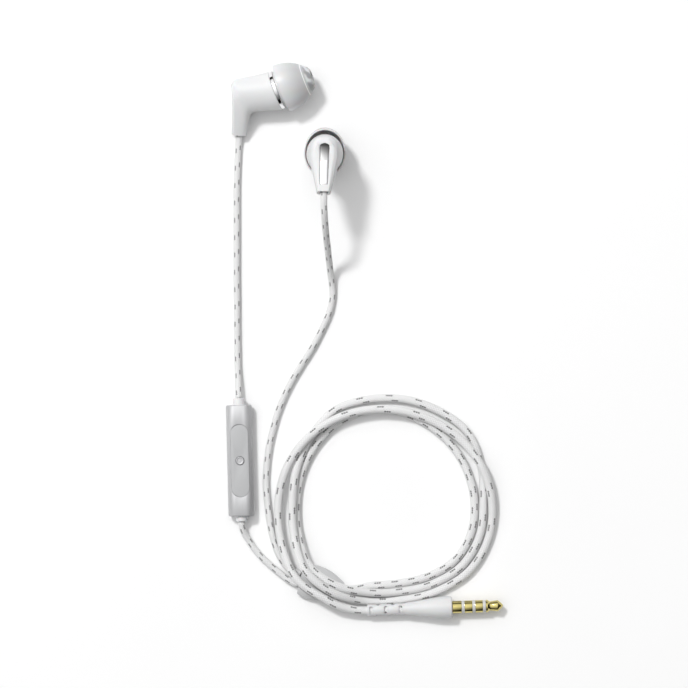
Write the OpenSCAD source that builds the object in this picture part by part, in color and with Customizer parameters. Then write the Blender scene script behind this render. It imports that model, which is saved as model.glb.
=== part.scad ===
// In-ear wired earphones with a one-button talk remote, a cable splitter and a 3.5 mm four-pole plug.
// Millimetres, +Z up. They lie on a table at z = 0, and the origin is under the middle of the two earbuds.

/* [Earbud] */
// Height of the oval front of the housing, along the stem
bud_h = 11.2; // [10:0.1:12.5]
// Width of the oval front of the housing
bud_w = 10.2; // [9.4:0.1:11]
// Wall thickness of the housing
bud_wall = 0.8; // [0.5:0.05:1]
// Width of the chrome trim ring, along the nozzle
trim_w = 1.1; // [0.8:0.1:1.4]
// Outer diameter of the nozzle tube
nozzle_d = 4.2; // [3.6:0.1:4.6]
// Radial clearance between the nozzle tube and the ear tip
tip_clearance = 0.04; // [0.02:0.01:0.08]
// Depth of the slot in the back of the housing
slot_depth = 0.6; // [0.4:0.05:0.7]

/* [Ear tip] */
// Height of the ear tip's open rim, along the stem
tip_h = 13.8; // [12:0.1:15]
// Width of the ear tip's open rim
tip_w = 11.6; // [10.5:0.1:13]
// Thickness of the ear tip's dome
tip_wall = 0.7; // [0.5:0.05:0.9]

/* [Remote] */
// Length of the remote's body
remote_l = 31; // [28:0.5:34]
// Width of the remote's body
remote_w = 7.2; // [6.8:0.1:8]
// Thickness of the remote's body
remote_h = 5.4; // [5.2:0.1:6]
// Length of the inset panel
panel_l = 20.4; // [16:0.2:24]
// Width of the inset panel
panel_w = 5.1; // [4.4:0.1:5.2]
// Diameter of the talk button
button_d = 2.3; // [2:0.1:2.8]
// Travel of the talk button
button_travel = 0.3; // [0.2:0.05:0.4]

/* [Splitter] */
// Length of the splitter
splitter_l = 12.4; // [11:0.2:15]
// Widest width of the splitter
splitter_w = 9.7; // [8.6:0.1:10.5]
// Thickness of the splitter
splitter_h = 3.6; // [3.2:0.1:4.2]

/* [Plug] */
// Diameter of the plug's contacts, the standard size
plug_d = 3.5; // [3.5]
// Largest diameter of the plug's boot
boot_d = 6.2; // [5.6:0.1:7]
// Length of the plug's boot without its slotted relief
boot_l = 13.6; // [11:0.2:16]
// Length of the slotted relief
relief_l = 10.2; // [8:0.2:12]
// Outer diameter of the slotted relief
relief_d = 3.2; // [3:0.1:3.6]

/* [Cable] */
// Diameter of the braided cable of each earbud
ear_cable_d = 1.9; // [1.6:0.1:2]
// Diameter of the braided cable that ends in the plug
main_cable_d = 2.3; // [2:0.1:2.3]

/* [Hidden] */

$fn = 48;
gap = 0.03;           // clearance between pieces that touch
cable_sides = 8;
section_points = 32;  // points around a housing section

// Where the pieces lie. An earbud's own frame has its origin in the middle of the housing's front, its nozzle
// along +X and its stem towards -Y.
left_at = [-3.3, 10.9, 6.1];
left_yaw = 20;
left_raise = 6;
left_roll = 21;
right_at = [10.5, -7, 11.5];
right_turn = -1.3;
right_lean = 14;
remote_at = [-13.2, -92.2, remote_h / 2];
remote_turn = 1.4;
splitter_at = [3.6, -125.4, 0];
splitter_turn = -14;
plug_at = [46.1, -133.2, boot_d / 2];  // where the contacts leave the boot
plug_turn = 2;

// The side outline of an earbud's housing, from the front to the end of the stem. Each row has the point on
// the nozzle's underside and stem's front, the point on the top and back, the half width, how square the
// section is (1 is an ellipse) and the half width of the slot in the back, which is 0 where there is none.
housing_rows = [
    [[0, -5.6], [0, 5.6], 5.1, 1, 0],
    [[-3, -4.7], [-3.6, 6], 4.75, 0.95, 0],
    [[-6, -3.8], [-7.4, 6.6], 4.3, 0.9, 0],
    [[-7.5, -3.4], [-9.6, 6.8], 4.05, 0.85, 0],
    [[-8.2, -3.4], [-10.9, 5.8], 3.95, 0.8, 0],
    [[-8.6, -3.6], [-11.2, 5.2], 3.9, 0.8, 0],
    [[-8.8, -3.8], [-11.3, 4.6], 3.85, 0.8, 1.2],
    [[-9, -4], [-11.5, 4], 3.8, 0.8, 1.6],
    [[-9.5, -4.7], [-12.1, 2.2], 3.6, 0.8, 1.6],
    [[-10.1, -5.7], [-13, -0.2], 3.2, 0.8, 1.4],
    [[-11, -7.2], [-14.3, -3.5], 2.55, 0.8, 1.15],
    [[-11.5, -8], [-15.1, -5.4], 2.25, 0.8, 1],
    [[-11.6, -8.1], [-15.2, -5.6], 2.2, 0.8, 0],
    [[-12, -9], [-15.8, -7], 1.95, 0.8, 0]
];
stem_end = (housing_rows[13][0] + housing_rows[13][1]) / 2;
stem_up = (housing_rows[11][0] + housing_rows[11][1]) / 2;
stem_angle = atan2(stem_end[1] - stem_up[1], stem_end[0] - stem_up[0]);

// The ear tip's dome as [distance along the nozzle, share of the rim's radius]
tip_dome = [
    [1.8, 1], [3.6, 0.985], [5.4, 0.93], [7, 0.84], [8.5, 0.71], [9.7, 0.56], [10.6, 0.45], [11.2, 0.38]
];
nozzle_l = 6.6;
tip_bore_r = nozzle_d / 2 + tip_clearance;

// Route of each cable along its centre line: [x, y, z]
left_upper_route = [
    [-13.4, -0.3, 2], [-13.5, -1.6, 1.5], [-13.7, -4, 1.05], [-13.9, -8, 0.95], [-14.1, -13, 0.95],
    [-14.2, -18.5, 0.95], [-14.2, -24, 0.95], [-14.2, -30, 0.95], [-14.2, -36, 0.95], [-14.2, -42, 0.95],
    [-14.1, -48, 0.95], [-14.1, -54, 0.95], [-14, -60, 0.95], [-13.9, -66, 1.1], [-13.7, -71, 2],
    [-13.6, -74.7, 2.7]
];
left_lower_route = [
    [-12.8, -109.3, 2.7], [-12.7, -110.4, 2.5], [-12.4, -111.6, 2.1], [-11.9, -112.8, 1.6], [-11.2, -114, 1.2],
    [-10.4, -115.2, 1], [-9.4, -116.7, 0.95], [-8.2, -118.2, 0.95], [-6.8, -119.7, 0.95], [-5.3, -121.1, 0.95],
    [-3.7, -122.5, 0.95], [-2.2, -123.7, 1], [-0.8, -124.8, 1.1], [0.5, -125.7, 1.4], [1.7, -126.3, 1.6],
    [3, -126.8, 1.8]
];
right_route = [
    [10.3, -17.6, 23], [10.3, -19, 23.2], [10.3, -21.2, 23], [10.4, -23.6, 22], [10.6, -26.2, 20],
    [10.8, -28.6, 17.3], [11, -30.8, 14.2], [11.3, -33, 11], [11.5, -35.2, 7.9], [11.8, -37.6, 5.1],
    [12.1, -40.2, 2.9], [12.5, -43.2, 1.4], [12.6, -46.6, 0.95], [11.7, -50.8, 0.95], [9.6, -55.6, 0.95],
    [6.9, -60.8, 0.95], [3.8, -65.7, 0.95], [1, -70.4, 0.95], [-1.3, -75.2, 0.95], [-3.2, -80.4, 0.95],
    [-5.2, -89, 0.95], [-6, -97.5, 0.95], [-5.6, -104, 0.95], [-4.9, -109.6, 0.95], [-3.8, -114.8, 0.95],
    [-2.1, -119.2, 1], [0.4, -122.4, 1.3], [3.8, -123.9, 1.8]
];

// The main cable's coil, one row of [radius, height] at each station. Later turns lie beside the first or
// on it.
coil_centre = [27.6, -103.6];
station_angle = 20;
first_station = 260;
coil_lay = [
    [24.1, 1.2], [23.3, 1.2], [24.2, 1.2], [25.4, 1.2], [25.4, 1.2], [24.7, 1.2], [24.2, 1.2], [24.1, 1.2],
    [24.4, 1.2], [25.1, 1.2], [25.7, 1.2], [25.7, 1.2], [25.2, 1.2], [24.9, 1.2], [25, 1.2], [26.1, 2],
    [28, 4.8], [27.2, 5.2],
    [25.9, 2.9], [25.6, 1.4], [26.6, 1.2], [27.9, 1.2], [27.9, 1.2], [27.2, 1.2], [28.3, 1.2], [29.8, 1.2],
    [29.2, 1.2], [28.9, 1.2], [28.9, 1.2], [29.2, 1.2], [27.6, 1.9], [26.6, 2.9], [26.2, 3.4], [27.4, 4.2],
    [29.5, 6.8], [29.4, 5.8],
    [28.3, 1.6], [28, 1.2], [29, 1.2], [30.4, 1.2], [30.5, 1.2], [29.6, 2.4], [28.4, 3.8], [27, 3.2],
    [25.9, 3.2], [25.6, 3.6], [26, 3.6], [26.9, 3.6], [28.1, 4.3], [29.2, 3.8], [30.1, 2.6], [31.3, 3],
    [33, 4.7], [32, 4.8]
];
main_start = [[15.8, -128.4, 1.8], [19.4, -128.2, 1.4]];
main_end = [[17, -133.5, 3.7], [21.8, -134.1, 3.1], [32.4, -133.7, 3.1]];
coil_route = [for (i = [0 : len(coil_lay) - 1])
    let (a = first_station + i * station_angle)
    [coil_centre[0] + coil_lay[i][0] * cos(a), coil_centre[1] + coil_lay[i][0] * sin(a), coil_lay[i][1]]];
main_route = concat(main_start, coil_route, main_end);

// Lofts. A ring is a closed list of points, and every ring of a loft has the same number of them.
function unit(v) = v / norm(v);
function bands(rings, n, closed) = [
    for (i = [0 : rings - (closed ? 1 : 2)]) for (j = [0 : n - 1])
        let (a = i * n + j, b = i * n + (j + 1) % n, c = ((i + 1) % rings) * n + (j + 1) % n,
             d = ((i + 1) % rings) * n + j)
        each [[a, c, b], [a, d, c]]];
// A flat cap laid as a strip from the ring's first half to its second, so an arch is capped as well as an
// oval
function strip(start, n) = [
    for (k = [0 : n / 2 - 2])
        let (a = start + k, b = a + 1, c = start + n - 2 - k, d = c + 1)
        each [[a, b, c], [a, c, d]]];
function turned_over(faces) = [for (f = faces) [f[0], f[2], f[1]]];

// A closed tube: the rings go out along one skin and come back along the other.
module ring_loft(rings) {
    n = len(rings[0]);
    polyhedron([for (ring = rings) each ring], bands(len(rings), n, true));
}

// A solid with a flat cap at each end
module capped_loft(rings) {
    n = len(rings[0]);
    count = len(rings);
    polyhedron([for (ring = rings) each ring],
               concat(bands(count, n, false), strip(0, n), turned_over(strip((count - 1) * n, n))));
}

// A cable: a ring at each point of its route, square to the route there
function heading(route, i) =
    unit(route[min(i + 1, len(route) - 1)] - route[max(i - 1, 0)]);
function cable_ring(centre, along, r) =
    let (side = unit(cross(along, [0, 0, 1])), up = cross(side, along))
    [for (k = [0 : cable_sides - 1]) let (a = -90 - 360 * k / cable_sides)
        centre + r * (cos(a) * side + sin(a) * up)];
function every_third(route) = [for (i = [0 : 3 : len(route) - 1]) route[i]];
module cable(route, diameter) {
    capped_loft([for (i = [0 : len(route) - 1]) cable_ring(route[i], heading(route, i), diameter / 2)]);
}

// The housing's sections
function squarish(v, power) = sign(v) * pow(abs(v), power);
function section_edge(half, power, t) = half * squarish(t, power);
// The points of one section. inset moves the wall inwards, and depth sinks the slot.
function housing_section(row, inset, depth) =
    let (low = [row[0][0], row[0][1], 0], high = [row[1][0], row[1][1], 0],
         middle = (low + high) / 2, up = unit(high - low),
         a = norm(high - low) / 2 - inset, b = row[2] - inset,
         slot = max(row[4], 0.4), sunk = row[4] > 0 ? depth : 0,
         slot_angle = asin(pow(slot / b, 1 / row[3])) + 0.6,
         back = section_edge(a, row[3], cos(slot_angle)))
    concat(
        [middle + up * (back - sunk) + [0, 0, -slot], middle + up * (back - sunk) + [0, 0, slot]],
        [for (k = [0 : section_points - 3])
            let (t = slot_angle + (360 - 2 * slot_angle) * k / (section_points - 3))
            middle + up * section_edge(a, row[3], cos(t)) + [0, 0, section_edge(b, row[3], sin(t))]]);

module housing() {
    last = len(housing_rows) - 1;
    outer = [for (row = housing_rows) housing_section(row, 0, slot_depth)];
    inner = [for (i = [last : -1 : 0]) housing_section(housing_rows[i], bud_wall, slot_depth)];
    ring_loft(concat(outer, inner));
}

// The metal strip on the floor of the slot
inlay_t = 0.3;
function inlay_section(row) =
    let (low = [row[0][0], row[0][1], 0], high = [row[1][0], row[1][1], 0],
         middle = (low + high) / 2, up = unit(high - low), slot = row[4],
         slot_angle = asin(pow(slot / row[2], 1 / row[3])) + 0.6,
         floor_at = section_edge(norm(high - low) / 2, row[3], cos(slot_angle)) - slot_depth + gap,
         half = slot - 0.1)
    [for (p = [[floor_at, -half], [floor_at, half], [floor_at + inlay_t, half], [floor_at + inlay_t, -half]])
        middle + up * p[0] + [0, 0, p[1]]];
module back_inlay() {
    capped_loft([for (row = housing_rows) if (row[4] > 0) inlay_section(row)]);
}

// An oval disc or ring, square to the nozzle
module oval(x0, x1, h, w) {
    translate([x0, 0, 0]) rotate([0, 90, 0]) linear_extrude(x1 - x0) scale([w / h, 1]) circle(d = h);
}
module along_nozzle(x) { translate([x, 0, 0]) rotate([0, 90, 0]) children(); }

module trim_ring() {
    difference() {
        oval(gap, trim_w, bud_h, bud_w);
        oval(-1, trim_w + 1, bud_h - 1.8, bud_w - 1.8);
    }
}
module nozzle() {
    difference() {
        union() {
            oval(gap, trim_w, bud_h - 1.9, bud_w - 1.9);
            oval(trim_w + gap / 2, trim_w + 0.5, bud_h - 0.8, bud_w - 0.8);
            along_nozzle(gap) cylinder(d = nozzle_d, h = trim_w + nozzle_l - gap);
        }
        along_nozzle(-1) cylinder(d = nozzle_d - 1.2, h = nozzle_l + 9);
        along_nozzle(trim_w + nozzle_l - 0.6) cylinder(d = nozzle_d - 0.7, h = 2);
    }
}
module nozzle_screen() {
    along_nozzle(trim_w + nozzle_l - 0.55) cylinder(d = nozzle_d - 0.8, h = 0.2);
}
module ear_tip() {
    rim = tip_h / 2;
    front = tip_dome[len(tip_dome) - 1];
    union() {
        scale([1, 1, tip_w / tip_h]) rotate([0, 90, 0]) rotate_extrude() polygon(concat(
            [for (p = tip_dome) [rim * p[1], p[0]]],
            [[tip_bore_r + 0.35, front[0]], [tip_bore_r + 0.35, front[0] - 1.4]],
            [for (i = [len(tip_dome) - 3 : -1 : 0])
                [rim * tip_dome[i][1] - tip_wall * (i == 0 ? 0.5 : 1),
                 tip_dome[i][0] + (i == 0 ? 0 : -0.25)]]));
        rotate([0, 90, 0]) rotate_extrude() polygon([
            [tip_bore_r, trim_w + 1.2], [tip_bore_r + 0.8, trim_w + 1.2], [tip_bore_r + 0.8, front[0] - 0.3],
            [tip_bore_r + 0.5, front[0] - 0.05], [tip_bore_r - 0.2, front[0] - 0.05],
            [tip_bore_r - 0.2, trim_w + nozzle_l + 0.1], [tip_bore_r, trim_w + nozzle_l + 0.1]]);
    }
}

// The driver: a cup with its magnet, and the diaphragm in front
driver_d = 7.6;
driver_l = 2.6;
module driver_frame() {
    difference() {
        along_nozzle(-0.5 - driver_l) cylinder(d = driver_d, h = driver_l);
        along_nozzle(0.5 - driver_l) cylinder(d = driver_d - 1, h = driver_l + 1);
    }
}
module driver_magnet() { along_nozzle(0.5 - driver_l + gap) cylinder(d = driver_d - 2.6, h = 1); }
module diaphragm() {
    difference() {
        along_nozzle(-0.5 + gap) cylinder(d = driver_d - 0.2, h = 0.3);
        along_nozzle(-1) cylinder(d = driver_d - 4.4, h = 0.85);
    }
}
// A rubber washer in the mouth of the stem, with a neck that goes on up beside the slot
module stem_grommet() {
    translate([stem_end[0], stem_end[1], 0]) rotate([0, 0, stem_angle]) rotate([0, -90, 0]) {
        translate([0, 0, 0.5]) cylinder(d = 2.1, h = 0.7);
        translate([0, 0, 0.6]) cylinder(d = 0.9, h = 1.8);
    }
}

module in_left_ear() { translate(left_at) rotate([left_roll, -left_raise, left_yaw]) children(); }
module in_right_ear() {
    translate(right_at) rotate([0, 0, right_turn]) rotate([right_lean, 0, 0]) rotate([0, 90, 0]) children();
}

// The remote. Its own frame has its middle at the origin, its length along Y and its panel on top.
panel_t = 0.9;
panel_sink = 0.25;  // how far the panel lies below the body's top
module rounded_bar(w, h, r) {
    square([w, h - 2 * r], center = true);
    square([w - 2 * r, h], center = true);
    for (x = [-1, 1], y = [-1, 1]) translate([x * (w / 2 - r), y * (h / 2 - r)]) circle(r);
}
module long_hole(l, w, z0, z1) {
    translate([0, 0, z0]) linear_extrude(z1 - z0) {
        square([w, l - w], center = true);
        for (y = [-1, 1]) translate([0, y * (l - w) / 2]) circle(d = w);
    }
}
module along_remote(y, l) { translate([0, y, 0]) rotate([90, 0, 0]) linear_extrude(l) children(); }
module remote_body() {
    difference() {
        along_remote(remote_l / 2, remote_l) rounded_bar(remote_w, remote_h, 2.3);
        along_remote(remote_l / 2 + 1, remote_l + 2) rounded_bar(remote_w - 1.4, remote_h - 1.4, 1.6);
        long_hole(panel_l, panel_w, 0, remote_h);
    }
}
module remote_panel() {
    top = remote_h / 2 - panel_sink;
    difference() {
        long_hole(panel_l - 2 * gap, panel_w - 2 * gap, top - panel_t, top);
        translate([0, 0, -1]) cylinder(d = button_d + 0.1, h = remote_h);
    }
}
button_base = remote_h / 2 - panel_sink - 1.1;
board_top = -0.4;
module remote_button() { translate([0, 0, button_base]) cylinder(d = button_d, h = 1.5); }
// The button comes down on the switch at the end of its travel.
module remote_switch() {
    translate([-1.3, -1.3, board_top]) cube([2.6, 2.6, button_base - button_travel - gap - board_top]);
}
module remote_circuit_board() { translate([-2.6, -9, board_top - 0.8]) cube([5.2, 18, 0.8 - gap]); }
module remote_microphone() { translate([0, -7, board_top]) cylinder(d = 2.4, h = 1); }
module collar(l, d, plug_l) {
    difference() {
        union() {
            along_remote(l, l) circle(d = d);
            along_remote(0, plug_l) rounded_bar(remote_w - 1.4 - 2 * gap, remote_h - 1.4 - 2 * gap, 1.55);
        }
        along_remote(l - 0.9, l + plug_l) circle(d = 1.2);
    }
}
module remote_top_collar() { translate([0, remote_l / 2, 0]) collar(1.9, 3.3, 2.6); }
module remote_bottom_collar() { rotate([0, 0, 180]) translate([0, remote_l / 2, 0]) collar(1.5, 3.2, 2.6); }
module on_remote() { translate(remote_at) rotate([0, 0, remote_turn]) children(); }

// The splitter: a flat almond in two shells around a moulded core. Each row has the distance along it as a
// share of its length, and the half width and half height there as shares of the widest.
splitter_rows = [[0, 0.85, 0.84], [0.12, 0.95, 0.95], [0.3, 1, 1], [0.5, 0.95, 1], [0.68, 0.82, 0.95],
                 [0.84, 0.62, 0.88], [1, 0.38, 0.8]];
splitter_wall = 0.7;
function half_oval(a, b, steps) = [for (k = [0 : steps]) let (t = 180 * k / steps) [a * cos(t), b * sin(t)]];
// An arch at each row: the outer oval from right to left, and the inner one back
function splitter_arch(row, side) =
    let (a = row[1] * splitter_w / 2, b = row[2] * (splitter_h - gap) / 2,
         out = half_oval(a, b, 12), in = half_oval(a - splitter_wall, b - splitter_wall, 12),
         line = concat(out, [for (k = [12 : -1 : 0]) in[k]]))
    [for (p = line) [row[0] * splitter_l, -p[0], splitter_h / 2 + side * (p[1] + gap / 2)]];
function reversed(list) = [for (i = [len(list) - 1 : -1 : 0]) list[i]];
module splitter_shell(side) {
    rings = [for (row = splitter_rows) splitter_arch(row, side)];
    capped_loft(side > 0 ? rings : [for (ring = rings) reversed(ring)]);
}
module splitter_core() {
    capped_loft([for (row = splitter_rows)
        let (a = row[1] * splitter_w / 2 - splitter_wall - 0.1,
             b = row[2] * splitter_h / 2 - splitter_wall - 0.1)
        [for (k = [0 : 15])
            [row[0] * (splitter_l - 0.6) + 0.3, -a * cos(22.5 * k), splitter_h / 2 + b * sin(22.5 * k)]]]);
}
module on_splitter() { translate(splitter_at) rotate([0, 0, splitter_turn]) children(); }

// The plug. Its own frame has the contacts along +X from the origin.
sleeve_l = 2.6;
ring_2_l = 2.2;
ring_1_l = 2.1;
insulator_l = 0.8;
shoulder_l = 0.6;
ring_2_x = sleeve_l + insulator_l;
ring_1_x = ring_2_x + ring_2_l + insulator_l;
tip_x = ring_1_x + ring_1_l + insulator_l;
core_d = 2.2;
pin_d = 1.1;
root_r = 1.45;  // the sleeve's root inside the boot
root_l = 3;
module around_plug() { rotate([0, 90, 0]) rotate_extrude() children(); }
module contact(x, l) {
    around_plug() translate([core_d / 2 + gap, x + gap / 2]) square([plug_d / 2 - core_d / 2 - gap, l - gap]);
}
module plug_sleeve() {
    contact(0, sleeve_l);
    around_plug() translate([core_d / 2 + gap, -root_l]) square([root_r - core_d / 2 - gap, root_l + gap]);
}
module plug_ring_2() { contact(ring_2_x, ring_2_l); }
module plug_ring_1() { contact(ring_1_x, ring_1_l); }
module plug_insulator() {
    around_plug() {
        translate([pin_d / 2 + gap, -root_l]) square([core_d / 2 - pin_d / 2 - gap, tip_x + root_l]);
        for (x = [sleeve_l, ring_2_x + ring_2_l, ring_1_x + ring_1_l])
            translate([core_d / 2 - 0.1, x]) square([plug_d / 2 - core_d / 2 + 0.1, insulator_l]);
    }
}
module plug_tip() {
    around_plug() polygon([[0, -4], [pin_d / 2, -4], [pin_d / 2, tip_x + gap], [plug_d / 2, tip_x + gap],
        [plug_d / 2, tip_x + shoulder_l], [1.3, tip_x + shoulder_l + 0.5], [1.3, tip_x + shoulder_l + 0.8],
        [1.5, tip_x + shoulder_l + 2.2], [1.45, tip_x + shoulder_l + 2.9], [0.9, tip_x + shoulder_l + 3.9],
        [0.4, tip_x + shoulder_l + 4.2], [0, tip_x + shoulder_l + 4.25]]);
}
// A moulded boot with a tapered body, and a relief with pairs of windows that face in turn up and down, and
// sideways
relief_bore_d = main_cable_d + 0.12;
window_l = 1;
window_w = 2.1;
window_pitch = 4.1;
boot_face = 0.08;  // how far the boot's front lies behind the contacts
module relief_windows(x, first_turn) {
    for (turn = [first_turn, first_turn + 180])
        rotate([turn, 0, 0]) translate([x - window_l, -window_w / 2, 0.5])
            cube([window_l, window_w, relief_d]);
}
module plug_boot() {
    r = boot_d / 2;
    relief_r = relief_d / 2;
    difference() {
        around_plug() polygon([[0, -boot_face], [r - 0.25, -boot_face], [r, -0.35], [r, -1.2],
            [r - 0.12, -4], [r - 0.7, -8], [relief_r + 0.35, 1.4 - boot_l], [relief_r, -boot_l],
            [relief_r, -boot_l - relief_l + 0.2],
            [relief_r - 0.2, -boot_l - relief_l], [0, -boot_l - relief_l]]);
        around_plug() translate([0, -root_l - 1.1]) square([root_r + gap, root_l + 2]);
        around_plug() translate([0, -boot_l - relief_l - 1]) square([relief_bore_d / 2, relief_l + 1]);
        for (i = [0 : 2]) relief_windows(-boot_l - 0.4 - i * window_pitch, 0);
        for (i = [0 : 1]) relief_windows(-boot_l - 2.5 - i * window_pitch, 90);
    }
}
module on_plug() { translate(plug_at) rotate([0, 0, plug_turn]) children(); }

white = "whitesmoke";
chrome = "silver";
silicone = "gainsboro";
gold = "goldenrod";
braid = "white";
board = "darkgreen";
dark = "dimgray";

color(white) in_left_ear() housing();  // left_housing
color(chrome) in_left_ear() back_inlay();  // left_back_inlay
color(chrome) in_left_ear() trim_ring();  // left_trim_ring
color(white) in_left_ear() nozzle();  // left_nozzle
color(dark) in_left_ear() nozzle_screen();  // left_nozzle_screen
color(silicone) in_left_ear() ear_tip();  // left_ear_tip
color(dark) in_left_ear() driver_frame();  // left_driver_frame
color(chrome) in_left_ear() driver_magnet();  // left_driver_magnet
color(silicone) in_left_ear() diaphragm();  // left_diaphragm
color(dark) in_left_ear() stem_grommet();  // left_stem_grommet
color(white) in_right_ear() housing();  // right_housing
color(chrome) in_right_ear() back_inlay();  // right_back_inlay
color(chrome) in_right_ear() trim_ring();  // right_trim_ring
color(white) in_right_ear() nozzle();  // right_nozzle
color(dark) in_right_ear() nozzle_screen();  // right_nozzle_screen
color(silicone) in_right_ear() ear_tip();  // right_ear_tip
color(dark) in_right_ear() driver_frame();  // right_driver_frame
color(chrome) in_right_ear() driver_magnet();  // right_driver_magnet
color(silicone) in_right_ear() diaphragm();  // right_diaphragm
color(dark) in_right_ear() stem_grommet();  // right_stem_grommet
color(chrome) on_remote() remote_body();
color(silicone) on_remote() remote_panel();
color(chrome) on_remote() remote_button();
color(dark) on_remote() remote_switch();
color(board) on_remote() remote_circuit_board();
color(chrome) on_remote() remote_microphone();
color(white) on_remote() remote_top_collar();
color(white) on_remote() remote_bottom_collar();
color(white) on_splitter() splitter_shell(1);  // splitter_top
color(white) on_splitter() splitter_shell(-1);  // splitter_bottom
color(dark) on_splitter() splitter_core();
color(white) on_plug() plug_boot();
color(gold) on_plug() plug_sleeve();
color(gold) on_plug() plug_ring_2();
color(gold) on_plug() plug_ring_1();
color(gold) on_plug() plug_tip();
color(white) on_plug() plug_insulator();
color(braid) cable(every_third(left_upper_route), ear_cable_d);  // left_upper_cable
color(braid) cable(every_third(left_lower_route), ear_cable_d);  // left_lower_cable
color(braid) cable(every_third(right_route), ear_cable_d);  // right_cable
color(braid) cable(main_route, main_cable_d);  // main_cable
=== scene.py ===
"""The looks of the wired earphones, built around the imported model. Metres, +Z up.

Sizes that the CAD source names are repeated here in millimetres and scaled by MM.
"""

import math

import bmesh
import bpy
import numpy as np
from mathutils import Matrix, Vector


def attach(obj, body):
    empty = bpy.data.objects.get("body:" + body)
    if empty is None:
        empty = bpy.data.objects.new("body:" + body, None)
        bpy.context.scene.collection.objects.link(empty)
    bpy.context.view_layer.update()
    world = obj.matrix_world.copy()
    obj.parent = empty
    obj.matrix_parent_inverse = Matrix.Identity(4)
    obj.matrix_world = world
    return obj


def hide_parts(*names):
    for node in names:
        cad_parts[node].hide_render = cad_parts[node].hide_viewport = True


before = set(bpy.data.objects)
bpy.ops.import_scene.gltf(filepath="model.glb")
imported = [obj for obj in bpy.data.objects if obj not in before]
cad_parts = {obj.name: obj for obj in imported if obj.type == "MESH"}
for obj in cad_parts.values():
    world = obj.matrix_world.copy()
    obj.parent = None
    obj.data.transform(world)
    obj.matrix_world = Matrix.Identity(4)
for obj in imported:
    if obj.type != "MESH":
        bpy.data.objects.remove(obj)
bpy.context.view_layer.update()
MM = 0.001
ROOT = "headset"

# ---- places, repeated from the CAD source

LEFT_AT, LEFT_YAW, LEFT_RAISE, LEFT_ROLL = (-3.3, 10.9, 6.1), 20, 6, 21
RIGHT_AT, RIGHT_TURN, RIGHT_LEAN = (10.5, -7, 11.5), -1.3, 14
REMOTE_L, REMOTE_W, REMOTE_H = 31, 7.2, 5.4
REMOTE_AT, REMOTE_TURN = (-13.2, -92.2, REMOTE_H / 2), 1.4
SPLITTER_L, SPLITTER_W, SPLITTER_H = 12.4, 9.7, 3.6
SPLITTER_AT, SPLITTER_TURN = (3.6, -125.4, 0), -14
BOOT_D, BOOT_L, RELIEF_L, RELIEF_D = 6.2, 13.6, 10.2, 3.2
PLUG_AT, PLUG_TURN, PLUG_D = (46.1, -133.2, BOOT_D / 2), 2, 3.5
EAR_CABLE_D, MAIN_CABLE_D = 1.9, 2.3
BUD_H, BUD_W, TRIM_W, NOZZLE_D = 11.2, 10.2, 1.1, 4.2
TIP_H, TIP_W, TIP_WALL, TIP_CLEARANCE = 13.8, 11.6, 0.7, 0.04
GAP = 0.03


def turned(axis, degrees):
    return Matrix.Rotation(math.radians(degrees), 4, axis)


def placed(at):
    return Matrix.Translation(Vector(at))


LEFT_EAR = placed(LEFT_AT) @ turned("Z", LEFT_YAW) @ turned("Y", -LEFT_RAISE) @ turned("X", LEFT_ROLL)
RIGHT_EAR = placed(RIGHT_AT) @ turned("Z", RIGHT_TURN) @ turned("X", RIGHT_LEAN) @ turned("Y", 90)
ON_REMOTE = placed(REMOTE_AT) @ turned("Z", REMOTE_TURN)
ON_SPLITTER = placed(SPLITTER_AT) @ turned("Z", SPLITTER_TURN)
ON_PLUG = placed(PLUG_AT) @ turned("Z", PLUG_TURN)

# The routes of the cables, as [x, y, z]
LEFT_UPPER_ROUTE = [
    (-13.4, -0.3, 2), (-13.5, -1.6, 1.5), (-13.7, -4, 1.05), (-13.9, -8, 0.95), (-14.1, -13, 0.95),
    (-14.2, -18.5, 0.95), (-14.2, -24, 0.95), (-14.2, -30, 0.95), (-14.2, -36, 0.95), (-14.2, -42, 0.95),
    (-14.1, -48, 0.95), (-14.1, -54, 0.95), (-14, -60, 0.95), (-13.9, -66, 1.1), (-13.7, -71, 2),
    (-13.6, -74.7, 2.7),
]
LEFT_LOWER_ROUTE = [
    (-12.8, -109.3, 2.7), (-12.7, -110.4, 2.5), (-12.4, -111.6, 2.1), (-11.9, -112.8, 1.6),
    (-11.2, -114, 1.2), (-10.4, -115.2, 1), (-9.4, -116.7, 0.95), (-8.2, -118.2, 0.95),
    (-6.8, -119.7, 0.95), (-5.3, -121.1, 0.95), (-3.7, -122.5, 0.95), (-2.2, -123.7, 1),
    (-0.8, -124.8, 1.1), (0.5, -125.7, 1.4), (1.7, -126.3, 1.6), (3, -126.8, 1.8),
]
RIGHT_ROUTE = [
    (10.3, -17.6, 23), (10.3, -19, 23.2), (10.3, -21.2, 23), (10.4, -23.6, 22), (10.6, -26.2, 20),
    (10.8, -28.6, 17.3), (11, -30.8, 14.2), (11.3, -33, 11), (11.5, -35.2, 7.9), (11.8, -37.6, 5.1),
    (12.1, -40.2, 2.9), (12.5, -43.2, 1.4), (12.6, -46.6, 0.95), (11.7, -50.8, 0.95), (9.6, -55.6, 0.95),
    (6.9, -60.8, 0.95), (3.8, -65.7, 0.95), (1, -70.4, 0.95), (-1.3, -75.2, 0.95), (-3.2, -80.4, 0.95),
    (-5.2, -89, 0.95), (-6, -97.5, 0.95), (-5.6, -104, 0.95), (-4.9, -109.6, 0.95), (-3.8, -114.8, 0.95),
    (-2.1, -119.2, 1), (0.4, -122.4, 1.3), (3.8, -123.9, 1.8),
]
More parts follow.
